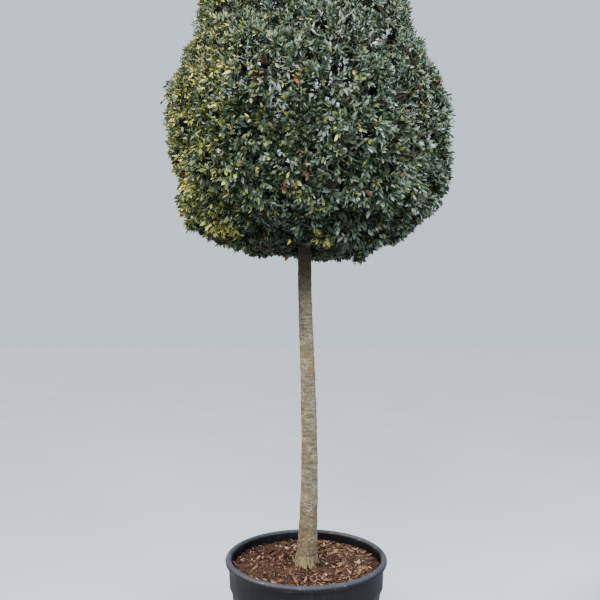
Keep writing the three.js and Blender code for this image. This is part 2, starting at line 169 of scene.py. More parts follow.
# Crown
CROWN_RADIUS = 0.745
CROWN_LEVEL = 2.7
CROWN_DROP = 0.74
CROWN_RISE = 1.35
DROP_POWER = 3
RISE_POWER = 1.6
LUMP = 0.03
HEART = np.array([0, 0, CROWN_LEVEL])
TIER_FACTS = "name count start end turn dense core foot spread bough aim".split()
TIERS = [
    ("skirt", 4, 134, 171, 20, 1.05, (0.062, 0.15), 2.11, 0.07, 0.015, 0.24),
    ("lower", 6, 100, 134, 0, 1.1, (0.07, 0.215), 2.225, 0.13, 0.017, -0.16),
    ("middle", 6, 68, 100, 30, 1.2, (0.07, 0.215), 2.43, 0.16, 0.016, 0),
    ("upper", 5, 40, 68, 10, 1.45, (0.07, 0.215), 2.69, 0.16, 0.013, 0),
    ("top", 3, 15, 40, 50, 1.6, (0.07, 0.215), 2.98, 0.15, 0.01, 0),
    ("tip", 1, 0, 15, 0, 1.6, (0.07, 0.23)),
]
SHOULDER_FALL = 0.055
SHOULDER_SPAN = (2.75, 3.15)  # heights
TIP_FALL = 0.045
TIP_SPAN = (3.6, 3.9)  # heights
TIP_WIDTH = 0.16
TUFT_WIDTHS = (0.17, 0.062)
TUFT_SWELLS = (0.34, 0.5)
THIN_WIDTH = 0.2
THIN_SHARE = 0.6  # of the shoots, left out in a few thin places
UNDERSIDE = (2.25, 2.05)  # heights over which the crown's underside begins
UNDERSIDE_HOLLOW = 0.065
HOLLOW_SPAN = (0.5, 0.14)  # from the crown's axis
UNDERSIDE_RAGS = 0.045

# Boughs and the twigs on them
BOUGH_TAPER = 0.55
BOUGH_COLLAR = 0.45
COLLAR_REACH = 0.02
BOUGH_DRIFT = 0.15
BOUGH_SAG = 0.3
BOUGH_END = 0.022
BOUGH_SIDES = 16
STEM_REACH = 0.6
STEM_BEND = 0.4
TIP_STEM_LEAN = -0.9
TWIG_RADIUS = (0.007, 0.004)
TWIG_FEET = (0.45, 0.95)  # shares of the stem
TWIG_BULGE = 0.05
TWIG_END = 0.07
TWIG_SPREAD = 0.77
TWIGS = 6
EVEN_STEPS = (0.7549, 0.5698)  # of a sequence that fills a square evenly
SPACE_MARGIN = 0.006
LIMB_MARGIN = 0.015
BRANCHLETS = 150  # on a square metre of crown surface
BRANCHLET_DEPTH = (0.07, 0.135)
BRANCHLET_RADIUS = (0.003, 0.0017)
BRANCHLET_GROWTH = dict(steepness=1.2, spring=0.04, stray=0.02)
SHOOTS = 1130  # on a square metre of crown surface
SHOOT_DEPTH = (0.012, 0.13)
SHOOT_DEPTH_STRAY = 0.016
SHOOT_RADIUS = (0.0017, 0.0008)
SHOOT_GROWTH = dict(steepness=1.0, spring=0.06, stray=0.045)
SHOOT_LENGTH = (0.012, 0.19)
INNER_SHOOTS = 400
INNER_DEPTH = (0.095, 0.23)
INNER_GROWTH = dict(steepness=0.6, spring=0.06, stray=0.04)
STRAY_WIDTH = 0.021
SPRAY_WIDTH = 0.072
SPRAY_PULL = 0.03
OVERLAP = 1.13  # of neighbouring masses, as a share of half their width
STEEP = 0.85  # the upward share from which a tube counts as steep

# Leaves
LEAVES_ON_SHOOT = 15
LEAVES_ON_INNER_SHOOT = 9
LEAF_START = 0.3  # share of a shoot below its first leaf
LEAF_TURN = math.radians(137.5)
LEAF_SPREAD = (78, 30)  # degrees off the shoot, from its first leaf to its last
LEAF_DROOP = (-0.05, 0.18)
LOW_DROOP = 0.32
LOW_SPAN = (3.3, 2.1)  # heights
HIGH_LIFT = 0.35
HIGH_SPAN = (2.35, 3.0)  # heights
LEAF_FACING = (0.38, 0.58, 0.62)  # upwards, outwards and at random
LEAF_LENGTH = (0.022, 0.046)
LEAF_VIGOUR = (0.88, 1.12)
LAST_LEAF = 0.82  # lengths as shares of the others'
HIGH_LEAF = 0.74
LEFT_LEAF = 0.84
LEFT_SPAN = (-0.3, -0.6)  # in x
HIGH_LEAF_WIDTH = 0.8
LEAF_FORM = ((0.34, 0.54), (0.12, 0.6), (-0.06, 0.24))  # width, fold and curl
LEAF_OVERHANG = 0.004
ODD_LEAVES = 0.7  # share of leaves that differ from their spray

# The corners of a leaf, as shares of its length and its width, and its faces
LEAF_SHAPE = (
    np.array([0.0, 0.27, 0.64, 1.0, 0.64, 0.27]),
    np.array([0.0, -0.46, -0.42, 0.0, 0.42, 0.46]),
    np.array([[0, 1, 3], [1, 2, 3], [0, 3, 5], [3, 4, 5]]),
)
SHADED_LEAF_SHAPE = (
    np.array([0.0, 0.42, 1.0, 0.42]),
    np.array([0.0, -0.54, 0.0, 0.54]),
    np.array([[0, 1, 2], [0, 2, 3]]),
)

# Colours and shares of the leaves' tints
# The inner leaves' tint is painted shade deep in the crown.
SHADE_TINT = (66, 78, 64)
LEAF_TINTS = {
    "dark": ((58, 70, 54), 0.17),
    "deep": ((67, 81, 62), 0.24),
    "green": ((85, 101, 74), 0.2),
    "grey": ((115, 126, 109), 0.18),
    "silver": ((151, 159, 149), 0.06),
    "olive": ((118, 121, 72), 0.11),
    "young": ((164, 168, 94), 0.05),
    "gold": ((206, 195, 114), 0.03),
    "rust": ((142, 106, 78), 0.015),
}

# Sprays of one tint that stand out in the crown: where, how far and how surely. The yellow-green
# and gold sprays are partly painted backlight.
TINT_SPOTS = [
    ("rust", (-0.19, -0.69, 2.7), 0.055, 0.45),
    ("rust", (0.195, -0.62, 2.284), 0.035, 0.9),
    ("rust", (-0.086, -0.62, 2.236), 0.04, 0.35),
    ("rust", (-0.016, -0.67, 2.36), 0.03, 0.7),
    ("young", (0.076, -0.28, 2.058), 0.065, 0.9),
    ("young", (-0.262, -0.476, 2.129), 0.055, 0.8),
    ("gold", (-0.01, -0.72, 2.72), 0.03, 0.5),
    ("gold", (-0.4, -0.26, 2.07), 0.09, 0.6),
    ("gold", (-0.585, -0.326, 2.353), 0.11, 0.5),
]

# The eye of the photograph, and thin places where it sees the sky: lines from the eye on
# through the trunk's plane, with their x and height there and their radius
EYE = np.array([0, -3.067, 1.603])
SKY_GAPS = [
    (-0.397, 2.872, 0.02), (-0.375, 2.905, 0.016), (0.126, 2.939, 0.02), (0.058, 2.918, 0.024),
    (0.032, 2.886, 0.018), (0.226, 2.923, 0.018), (0.168, 2.816, 0.015), (0.116, 2.848, 0.016),
    (-0.041, 2.811, 0.014), (-0.093, 2.514, 0.018), (-0.14, 2.557, 0.019), (-0.124, 2.493, 0.015),
    (0.037, 2.567, 0.017), (-0.358, 2.478, 0.015), (-0.458, 2.574, 0.015), (-0.298, 3.011, 0.015),
    (-0.537, 2.712, 0.014), (-0.26, 2.679, 0.012), (-0.151, 2.753, 0.013), (0.411, 3.175, 0.016),
    (0.437, 3.207, 0.02), (0.459, 3.288, 0.014), (0.518, 2.921, 0.015), (0.467, 3.034, 0.015),
]

# Studio
LENS = 36
CAMERA_TILT = math.radians(93.5)
CAMERA_TURN = math.radians(0.573)
FLOOR_RADIUS = 90
FLOOR_SIDES = 128
FLOOR_DROP = 0.0005
SKY_COLOUR = (0.79, 0.87, 0.97, 1)
SKY_STRENGTH = 0.8
SUN = dict(energy=3.2, angle=math.radians(9), color=(1.0, 0.86, 0.64))
SUN_HEADING = (4.6, 0.6, -4.6)
SOFT_LIGHTS = {  # where they stand, where they shine, and their size, power and colour
    "right_sky": ((4.2, -3.2, 4.8), (0, 0, 2.4), 3.2, 310, (0.9, 0.95, 1.0)),
    "front_sky": ((-1.2, -5.4, 5.8), (0, 0, 3.0), 3.6, 480, (0.92, 0.96, 1.0)),
}


# Numbers and directions


def lerp(start, end, share):
    return start + (end - start) * share


def smoothstep(low, high, value):
    share = np.clip((value - low) / (high - low), 0, 1)
    return share * share * (3 - 2 * share)


def norm(vectors):
    return np.linalg.norm(vectors, axis=-1)


def unit(vectors):
    return vectors / norm(vectors)[..., None]


def square_to(vectors, axes):
    """The vectors turned square to the axes, at a length of one."""
    return unit(vectors - axes * np.sum(vectors * axes, axis=-1, keepdims=True))


def stacked(*parts):
    """Values side by side, such as the x, y and z of points."""
    return np.stack(np.broadcast_arrays(*parts), axis=-1)


def around(radius, turn, height):
    """Points at a radius, a turn about the upright axis and a height."""
    return stacked(radius * np.cos(turn), radius * np.sin(turn), height)


def full_turn(steps):
    return np.arange(steps) / steps * TAU


def signed(turn):
    """The same turn, from half a circle back to half a circle on."""
    return (turn + math.pi) % TAU - math.pi


def chance(first, second):
    """An even random number from 0 to 1 that is fixed by its two seeds."""
    wave = np.sin(first * 127.1 + second * 311.7) * 43758.5453
    return wave - np.floor(wave)


def noise(points, seed):
    """Smooth noise from -1 to 1, with features about one unit wide."""
    cell = np.floor(points).astype(np.int64)
    inside = points - cell
    inside = inside * inside * (3 - 2 * inside)
    total = np.zeros(points.shape[:-1])
    for corner in range(8):
        step = np.array([corner & 1, (corner >> 1) & 1, corner >> 2])
        weight = np.prod(np.where(step == 1, inside, 1 - inside), axis=-1)
        x, y, z = np.moveaxis(cell + step, -1, 0)
        mixed = (x * 374761393 + y * 668265263 + z * 1440662683 + seed * 974634777) & 0xFFFFFFFF
        for shift, factor in (13, 1274126177), (16, 668265263):
            mixed = ((mixed ^ (mixed >> shift)) * factor) & 0xFFFFFFFF
        total += weight * ((mixed >> 8) & 0xFFFF) / 0xFFFF
    return 2 * total - 1


def ridges(points, seed):
    """Noise from 0 to 1 that peaks along thin lines."""
    return 1 - np.abs(noise(points, seed))


def wander(points, width, seed):
    """Smooth random shifts in x, y and z, with features of one width."""
    return stacked(*(noise(points / width, seed + axis) for axis in range(3)))


# Meshes


def placed(name, data, location=(0, 0, 0), angles=(0, 0, 0)):
    thing = bpy.data.objects.new(name, data)
    thing.location = location
    thing.rotation_euler = angles
    bpy.context.scene.collection.objects.link(thing)
    return thing


def mesh_object(name, points, *kinds):
    """An object from its points and the lists of its faces of each kind."""
    mesh = bpy.data.meshes.new(name)
    mesh.from_pydata(points.tolist(), [], [face for faces in kinds for face in faces.tolist()])
    mesh.validate()
    mesh.shade_smooth()
    return placed(name, mesh)


def make_piece(name, mesh, material, stands_for):
    """A piece from its mesh, in place of the nodes that it stands for."""
    piece = mesh_object(name, *mesh)
    piece.data.materials.append(material)
    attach(piece, "root")
    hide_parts(*stands_for)
    return piece


def ring_faces(rows, columns):
    """Quads between rings of points, from the first ring to the last."""
    row, column = np.meshgrid(np.arange(rows - 1), np.arange(columns), indexing="ij")
    low = row * columns
    high = low + columns
    following = (column + 1) % columns
    quads = stacked(low + column, low + following, high + following, high + column)
    return quads.reshape(-1, 4)


def closed_rings(rings, first, last):
    """A skin over rings of points, closed with a point at each end."""
    rows, columns = rings.shape[:2]
    centre = rows * columns
    here = np.arange(columns)
    following = (here + 1) % columns
    foot = stacked(following, here, centre)
    top = centre - columns
    tip = stacked(top + here, top + following, centre + 1)
    points = np.concatenate([rings.reshape(-1, 3), [first, last]])
    return points, ring_faces(rows, columns), np.concatenate([foot, tip])


def turned(profile, segments):
    """Rings of points from a profile of radii and heights."""
    return around(profile[:, :1], full_turn(segments), profile[:, 1:])


def closed_turning(rings):
    return closed_rings(rings, UP * rings[0, :, 2].mean(), UP * rings[-1, :, 2].mean())


def merged(shapes, *kinds):
    """Many shapes with the same kinds of faces as one mesh."""
    count, corners = shapes.shape[:2]
    starts = (np.arange(count) * corners)[:, None, None]
    return shapes.reshape(-1, 3), *((kind + starts).reshape(-1, kind.shape[1]) for kind in kinds)


def joined(parts):
    """Several meshes, each with the same kinds of faces, as one."""
    points, *kinds = zip(*parts)
    starts = np.cumsum([0, *map(len, points)])
    faces = (np.concatenate([f + start for f, start in zip(kind, starts)]) for kind in kinds)
    return np.concatenate(points), *faces


def tubes(paths, radii, sides):
    """Closed tapering tubes along paths that have the same number of points."""
    count, steps = paths.shape[:2]
    along = unit(np.gradient(paths, axis=1))
    mean = unit(paths[:, -1] - paths[:, 0])
    guide = np.where(np.abs(mean[:, 2:]) < STEEP, UP, (1, 0, 0))[:, None]
    across = unit(np.cross(guide, along))
    over = np.cross(along, across)
    turn = full_turn(sides)[None, None, :, None]
    skin = across[:, :, None] * np.cos(turn) + over[:, :, None] * np.sin(turn)
    points = paths[:, :, None] + skin * radii[:, :, None, None]
    fan = np.arange(1, sides - 1)
    foot = stacked(0, fan + 1, fan)
    tip = stacked(0, fan, fan + 1) + (steps - 1) * sides
    ends = np.concatenate([foot, tip])
    return merged(points.reshape(count, -1, 3), ring_faces(steps, sides), ends)


# The trunk's line and thickness


def trunk_line():
    """Points close together along the trunk's bowed centre line."""
    bow = TRUNK_BOW
    knots = np.concatenate([2 * bow[:1] - bow[1:2], bow, 2 * bow[-1:] - bow[-2:-1]])
    share = np.linspace(0, 1, 60, endpoint=False)[:, None]
    pieces = []
    for a, b, c, d in zip(knots, knots[1:], knots[2:], knots[3:]):
        before, between, after = (np.linalg.norm(v) ** 0.5 for v in (b - a, c - b, d - c))
        leaving = (b - a) / before - (c - a) / (before + between) + (c - b) / between
        arriving = (c - b) / between - (d - b) / (between + after) + (d - c) / after
        leaving, arriving = leaving * between, arriving * between
        square = 3 * (c - b) - 2 * leaving - arriving
        cube = 2 * (b - c) + leaving + arriving
        pieces.append(b + leaving * share + square * share**2 + cube * share**3)
    return np.concatenate([*pieces, bow[-1:]])


TRUNK_LINE = trunk_line()


def trunk_centre(height):
    x, y = (np.interp(height, TRUNK_LINE[:, 2], TRUNK_LINE[:, axis]) for axis in (0, 1))
    return stacked(x, y, height)


def trunk_radius(height):
    clear = (height - TRUNK_FOOT) / (CLEAR_TRUNK_TOP - TRUNK_FOOT)
    in_crown = (height - CLEAR_TRUNK_TOP) / (TRUNK_TIP - CLEAR_TRUNK_TOP)
    below = lerp(FOOT_DIAMETER, CLEAR_TOP_DIAMETER, clear)
    above = lerp(CLEAR_TOP_DIAMETER, TIP_DIAMETER, in_crown)
    taper = np.where(clear < 1, below, above)
    return (taper + FLARE * np.exp((TRUNK_FOOT - height) / FLARE_HEIGHT)) / 2


def clear_of_trunk(points):
    height = points[..., 2]
    axis = trunk_centre(np.clip(height, TRUNK_FOOT, TRUNK_TIP))
    radius = norm((points - axis)[..., :2])
    return (height > TRUNK_TIP) | (radius - trunk_radius(height) > LIMB_MARGIN)


# The crown's rule


def crown_reach(azimuth, angle):
    """How far the crown reaches from its heart."""
    across = np.sin(angle) / CROWN_RADIUS
    along = np.cos(angle)
    power = np.where(along > 0, RISE_POWER, DROP_POWER)
    height = np.abs(along) / np.where(along > 0, CROWN_RISE, CROWN_DROP)
    egg = (across**power + height**power) ** (-1 / power)
    swell = np.sin(3 * azimuth + 1.3) * np.sin(4 * angle + 0.5)
    ripple = np.sin(5 * azimuth - 6 * angle)
    return egg * (1 + LUMP * np.sin(angle) * (swell + 0.6 * ripple))


def depth_under_surface(points):
    x, y, z = np.moveaxis(points - HEART, -1, 0)
    distance = norm(points - HEART)
    angle = np.arccos(np.clip(z / distance, -1, 1))
    return crown_reach(np.arctan2(y, x), angle) - distance


def mass_space(tier, index):
    """The part of the crown that one mass of leaves fills."""
    space = SimpleNamespace(**dict(zip(TIER_FACTS, tier)))
    space.node = f"foliage_{space.name}_{index + 1}"
    space.seed = space.start + index
    space.half = math.pi / space.count
    space.azimuth = math.radians(space.turn) + index * 2 * space.half
    space.low = math.radians(space.start)
    space.high = math.radians(space.end)
    space.rank = (index % 2) * 0.5 + index // 2 / space.count
    return space


SPACES = [mass_space(tier, index) for tier in TIERS for index in range(tier[1])]
MASSES = [space.node for space in SPACES]


def place(space, across, down, depth):
    """A point of a space, by its shares across and down it from -1 to 1 and its depth."""
    rough = lerp(space.low, space.high, (1 + down) / 2)
    distance = crown_reach(space.azimuth + across * space.half, rough) - depth
    margin = SPACE_MARGIN / distance
    upper = space.low + margin if space.low else 0
    angle = lerp(upper, space.high - margin, (1 + down) / 2)
    aside = space.half
    if space.low:
        aside = space.half - SPACE_MARGIN / (distance * np.sin(angle))
    azimuth = space.azimuth + across * aside
    reach = (crown_reach(azimuth, angle) - depth)[..., None]
    return HEART + around(np.sin(angle), azimuth, np.cos(angle)) * reach


def bezier(foot, bend, end, share):
    share = share[..., None]
    return foot * (1 - share) ** 2 + bend * 2 * share * (1 - share) + end * share**2


def bough_line(space):
    foot = trunk_centre(space.foot + space.spread * space.rank)
    drift = BOUGH_DRIFT * (2 * chance(space.seed, 11) - 1)
    end = place(space, drift, space.aim, space.core[1] + BOUGH_END)
    bend = lerp(foot, end, 0.5)
    bend[2] = lerp(foot[2], end[2], BOUGH_SAG)
    return foot, bend, end


def stem_line(space):
    """A mass's stem, which goes on from its bough or from the trunk's tip."""
    if space.name == "tip":
        start, heading, lean = UP * TRUNK_TIP, UP, TIP_STEM_LEAN
    else:
        foot, bend, start = bough_line(space)
        heading, lean = unit(start - bend), 0
    depth = lerp(space.core[1], space.core[0], STEM_REACH)
    end = place(space, 0, lean, depth)
    return start, start + heading * np.linalg.norm(end - start) * STEM_BEND, end


# Twigs, as curves with a foot, a bend and an end


def shoulder_fall(points):
    """How much flatter the crown's shoulder and its tip are than its reach."""
    x, y, z = np.moveaxis(points, -1, 0)
    tip = smoothstep(*TIP_SPAN, z) * smoothstep(TIP_WIDTH, 0, np.hypot(x, y))
    return SHOULDER_FALL * smoothstep(*SHOULDER_SPAN, z) + TIP_FALL * tip


def fallen_place(space, across, down, depth):
    return place(space, across, down, depth + shoulder_fall(place(space, across, down, depth)))


def even_spots(order, start=0.0):
    """Shares from -1 to 1 across and down a space that fill it evenly in any number."""
    return (2 * ((start + order * step) % 1) - 1 for step in EVEN_STEPS)


def twig_lines(space, stem):
    """A stem's main twigs, placed as on the solids."""
    index = np.arange(TWIGS)
    seed = space.seed + index * 13
    across, down = even_spots(index + 0.5)
    down = down * TWIG_SPREAD + 0.1 * (2 * chance(seed, 3) - 1)
    feet = bezier(*stem, lerp(*TWIG_FEET, chance(seed, 5)))
    ends = fallen_place(space, across * TWIG_SPREAD, down, TWIG_END)
    bulge = unit(feet - HEART) * TWIG_BULGE * norm(ends - feet)[:, None]
    return feet, lerp(feet, ends, 0.5) + bulge, ends


def spread_over(space, density, seed):
    """Places spread evenly over a space's part of the crown's surface."""

    def patch(angle):
        return np.sin(angle) * crown_reach(space.azimuth, angle) ** 2

    most = patch(np.linspace(space.low, space.high, 64)).max()
    width = 2 * space.half * (space.high - space.low)
    index = np.arange(int(round(density * most * width))) + 1
    across, down = even_spots(index, seed * 0.137)
    kept = chance(seed, index) < patch(lerp(space.low, space.high, (1 + down) / 2)) / most
    at_pole = (space.low == 0) & (down < 0)
    return np.array([across * OVERLAP, np.where(at_pole, down, down * OVERLAP)])[:, kept]


def sampled(lines, *span):
    """Points on curves, from share to share of them, and the curves' directions there."""
    foot, bend, end = (corner[:, None] for corner in lines)
    shares = np.linspace(*span)[None]
    points = bezier(foot, bend, end, shares)
    ahead = bezier(foot, bend, end, shares + 0.02)
    return points.reshape(-1, 3), unit(ahead - points).reshape(-1, 3)


def together(*lots):
    return tuple(np.concatenate(items) for items in zip(*lots))


def grown(parents, ends, steepness, spring, stray):
    """Curves to the ends from the places on the parents that suit them best."""
    feet, headings = parents
    reach = (ends + wander(ends, STRAY_WIDTH, 81) * 2 * stray)[:, None] - feet[None]
    length = norm(reach)
    turn = np.sum(reach * headings[None], axis=-1) / length
    best = np.argmin(length * (1 + steepness * (1 - turn)), axis=1)
    feet, headings = feet[best], headings[best]
    length = norm(ends - feet)[:, None]
    bends = feet + unit(headings + unit(ends - feet)) * length * 0.5 + UP * spring * length
    return feet, bends, ends


def tuft(points):
    """From 0 to 1, how far the crown's surface falls back between its tufts."""
    layers = zip(TUFT_SWELLS, TUFT_WIDTHS, (15, 16))
    swells = [swell * noise(points / width, seed) for swell, width, seed in layers]
    return np.clip(0.47 + swells[0] + swells[1], 0, 1)


def gathered(points):
    """The points drawn together into sprays with gaps between them."""
    outward = unit(points - HEART)
    shift = wander(points, SPRAY_WIDTH, 84) * SPRAY_PULL
    past = np.maximum(np.sum(shift * outward, axis=-1, keepdims=True), 0)
    return points + shift - past * outward


def hollow_underside(points):
    """How much deeper the shoots end round the trunk, where the crown is open from below."""
    below = smoothstep(*UNDERSIDE, points[:, 2])
    ragged = UNDERSIDE_RAGS * below * (0.5 + noise(points / 0.1, 17))
    by_trunk = smoothstep(*HOLLOW_SPAN, np.hypot(points[:, 0], points[:, 1]))
    return UNDERSIDE_HOLLOW * below * by_trunk + np.maximum(ragged, 0)


def well_grown(lines):
    """The shoots of a fair length that stay clear of the trunk."""
    least, most = SHOOT_LENGTH
    length = norm(lines[2] - lines[0])
    kept = (length > least) & (length < most) & clear_of_trunk(lines[2])
    return [corner[kept] for corner in lines]


def crown_twigs(space):
    """All the twigs of one mass: main twigs, branchlets, outer shoots and inner shoots."""

    def dealt(spots, shift):
        return chance(space.seed, np.arange(spots.shape[1]) + shift)

    stem = stem_line(space)
    main = twig_lines(space, stem)
    on_stem = sampled([corner[None] for corner in stem], 0.25, 0.97, 8)
    limbs = together(on_stem, sampled(main, 0.15, 0.95, 8))
    spots = spread_over(space, BRANCHLETS, space.seed + 0.3)
    depth = lerp(*BRANCHLET_DEPTH, dealt(spots, 0.7))
    branchlets = grown(limbs, fallen_place(space, *spots, depth), **BRANCHLET_GROWTH)

    limbs = together(sampled(main, 0.45, 0.97, 5), sampled(branchlets, 0.2, 0.97, 6))
    spots = spread_over(space, SHOOTS * space.dense, space.seed + 0.6)
    surface = place(space, *spots, 0)
    thin = THIN_SHARE * smoothstep(0.3, 0.7, noise(surface / THIN_WIDTH, 19))
    full = dealt(spots, 0.55) < 1 - thin
    spots, surface = spots[:, full], surface[full]
    depth = lerp(*SHOOT_DEPTH, tuft(surface) ** 1.4) + hollow_underside(surface)
    depth = depth + shoulder_fall(surface) + SHOOT_DEPTH_STRAY * dealt(spots, 0.2)
    outer = grown(limbs, gathered(place(space, *spots, depth)), **SHOOT_GROWTH)

    spots = spread_over(space, INNER_SHOOTS * space.dense, space.seed + 0.9)
    depth = np.minimum(lerp(*INNER_DEPTH, dealt(spots, 0.4)), space.core[1] + BOUGH_END)
    inner = grown(limbs, place(space, *spots, depth), **INNER_GROWTH)
    return main, branchlets, well_grown(outer), well_grown(inner)


def tapering(lines, radii, steps, sides):
    """Tubes along curves, thinner towards their ends."""
    shares = np.broadcast_to(np.linspace(0, 1, steps + 1), (len(lines[0]), steps + 1))
    paths = bezier(*(corner[:, None] for corner in lines), shares)
    return tubes(paths, lerp(*radii, shares), sides)


# Leaves

Leaves = namedtuple("Leaves", "roots directions normals lengths widths folds curls")


def blades(shape, leaves):
    """Leaves with a raised midrib, edges that turn down and a bent tip."""
    along, aside = (share[:, None] for share in shape[:2])
    roots, directions, normals = (vectors[:, None] for vectors in leaves[:3])
    lengths, widths, folds, curls = (sizes[:, None, None] for sizes in leaves[3:])
    aside = aside * widths
    drop = np.abs(aside) * folds + along**2 * curls
    rim = along * directions + aside * np.cross(normals, directions) - drop * normals
    return roots + rim * lengths


def leaves_along(lines, count, rng):
    """Leaves in a spiral along the outer part of each shoot and at its tip."""
    shoots = len(lines[0])
    every = (shoots, count)
    rank = np.arange(count)
    share = lerp(LEAF_START, 1.0, (rank + 0.6) / count) + rng.uniform(-0.02, 0.02, every)
    share = np.clip(share, 0, 1)
    foot, bend, end = (corner[:, None] for corner in lines)
    roots = bezier(foot, bend, end, share)
    along = unit(lerp(bend - foot, end - bend, share[..., None]))
    guide = unit(np.cross(along, UP + 0.01))
    other = np.cross(along, guide)
    turn = rank * LEAF_TURN + rng.uniform(0, TAU, (shoots, 1))
    turn = (turn + rng.uniform(-0.3, 0.3, every))[..., None]
    radial = guide * np.cos(turn) + other * np.sin(turn)
    spread = np.radians(lerp(*LEAF_SPREAD, (rank + 0.5) / count))
    spread = (spread + rng.uniform(-0.22, 0.22, every))[..., None]
    directions = along * np.cos(spread) + radial * np.sin(spread)
    low, high = (smoothstep(*span, roots[..., 2]) for span in (LOW_SPAN, HIGH_SPAN))
    droop = rng.uniform(*LEAF_DROOP, every) + LOW_DROOP * low - HIGH_LIFT * high
    directions = unit(directions - UP * droop[..., None])
    upward, outward, stray = LEAF_FACING
    normals = upward * UP + outward * unit(roots - HEART) + rng.normal(0, stray, roots.shape)
    normals = square_to(normals, directions)
    vigour = rng.uniform(*LEAF_VIGOUR, (shoots, 1))
    sizes = lerp(*LEAF_LENGTH, rng.beta(2.0, 2.0, every)) * vigour
    sizes = sizes * lerp(1, LAST_LEAF, (rank / count) ** 3)
    sizes = sizes * lerp(1, HIGH_LEAF, high)
    sizes = sizes * lerp(1, LEFT_LEAF, smoothstep(*LEFT_SPAN, roots[..., 0]))
    widths, folds, curls = (rng.uniform(*span, sizes.size) for span in LEAF_FORM)
    widths = widths * lerp(1, HIGH_LEAF_WIDTH, high).ravel()
    lines = (vectors.reshape(-1, 3) for vectors in (roots, directions, normals))
    return Leaves(*lines, sizes.ravel(), widths, folds, curls)


def in_sky_gap(points):
    offset = points - EYE
    inside = np.zeros(len(points), bool)
    for x, height, radius in SKY_GAPS:
        sight = unit((x, 0, height) - EYE)
        aside = offset - (offset @ sight)[:, None] * sight
        inside |= norm(aside) < radius
    return inside


def growing(leaves):
    """Which leaves are within the crown, clear of the trunk and outside the gaps."""
    tips = leaves.roots + leaves.directions * leaves.lengths[:, None]
    kept = (depth_under_surface(tips) > -LEAF_OVERHANG) & clear_of_trunk(tips)
    return kept & ~in_sky_gap((leaves.roots + tips) / 2)


def picked(leaves, chosen):
    return Leaves(*(values[chosen] for values in leaves))


# Tints, by weights that differ from place to place


def weighed(tints, **factors):
    """The weights of tints at each place, by their shares and their factors there."""
    weights = [share * np.maximum(factors.get(name, 1), 0) for name, (_, share) in tints.items()]
    weights = stacked(*weights)
    return weights / weights.sum(axis=1, keepdims=True)


def drawn(weights, rng):
    """The number of a tint for each place."""
    steps = np.cumsum(weights / weights.sum(axis=1, keepdims=True), axis=1)
    return (rng.uniform(0, 1, (len(steps), 1)) > steps).sum(axis=1)


def leaf_tint_weights(places):
    x, y, z = places.T
    left = smoothstep(-0.12, -0.64, x)
    right = smoothstep(0.0, 0.6, x)
    back = smoothstep(-0.1, 0.5, y)
    high = smoothstep(2.4, 3.1, z)
    under = smoothstep(2.35, 2.05, z) * smoothstep(0.62, 0.25, np.hypot(x, y))
    patch = noise(places / 0.28, 71)
    weights = weighed(
        LEAF_TINTS,
        # The dark tint heaped low round the trunk is painted shade under the crown; it thins on
        # the left and at the top with the painted light there.
        dark=1 - 0.45 * left - 0.45 * high + 3.5 * under,
        deep=1 - 0.4 * high,
        green=1 - 0.6 * under,
        # More grey and silver leaves at the top and on the right are partly painted sky
        # reflection and haze.
        grey=1 + 1.0 * high + 0.6 * right - 0.5 * left - 0.8 * under,
        silver=0.4 + 2.4 * high + 1.6 * right - 0.3 * left - 0.4 * under,
        # More olive, yellow-green and gold leaves on the left are partly painted backlight from
        # the sun.
        olive=0.6 + 1.6 * left + 0.5 * patch - 0.4 * under,
        young=0.28 + 4.0 * left * (1 - 0.5 * back) + 0.3 * patch - 0.3 * under,
        gold=0.2 + 4.3 * left * (1 + patch) * (1 - 0.75 * back) - 0.2 * under,
        rust=np.where(noise(places / 0.09, 72) > 0.6, 6.0, 0.4),
    )
    for name, middle, reach, sure in TINT_SPOTS:
        near = norm(places - middle) < reach
        weights[near, list(LEAF_TINTS).index(name)] += sure / (1 - sure)
    return weights


def litter_tints(places, rng, pale):
    """A tint for each bit of litter, in patches and with more pale bits on the right."""
    patch = noise(places / 0.085, 61)
    right = smoothstep(-0.15, 0.25, places[:, 0])
    weights = weighed(
        LITTER_TINTS,
        tan=pale * (0.7 + 0.8 * right) * (1 + 0.6 * patch),
        dark=(1.8 - 1.1 * right) * (1 - 0.5 * patch),
        ochre=0.4 + 1.6 * right,
        pale=pale * (0.6 + right),
    )
    return drawn(weights, rng)


# Materials


def linear(colour):
    """A colour on screens, from 0 to 255, as Blender's linear colour."""
    share = np.array(colour) / 255
    return tuple(np.where(share < 0.04045, share / 12.92, ((share + 0.055) / 1.055) ** 2.4))


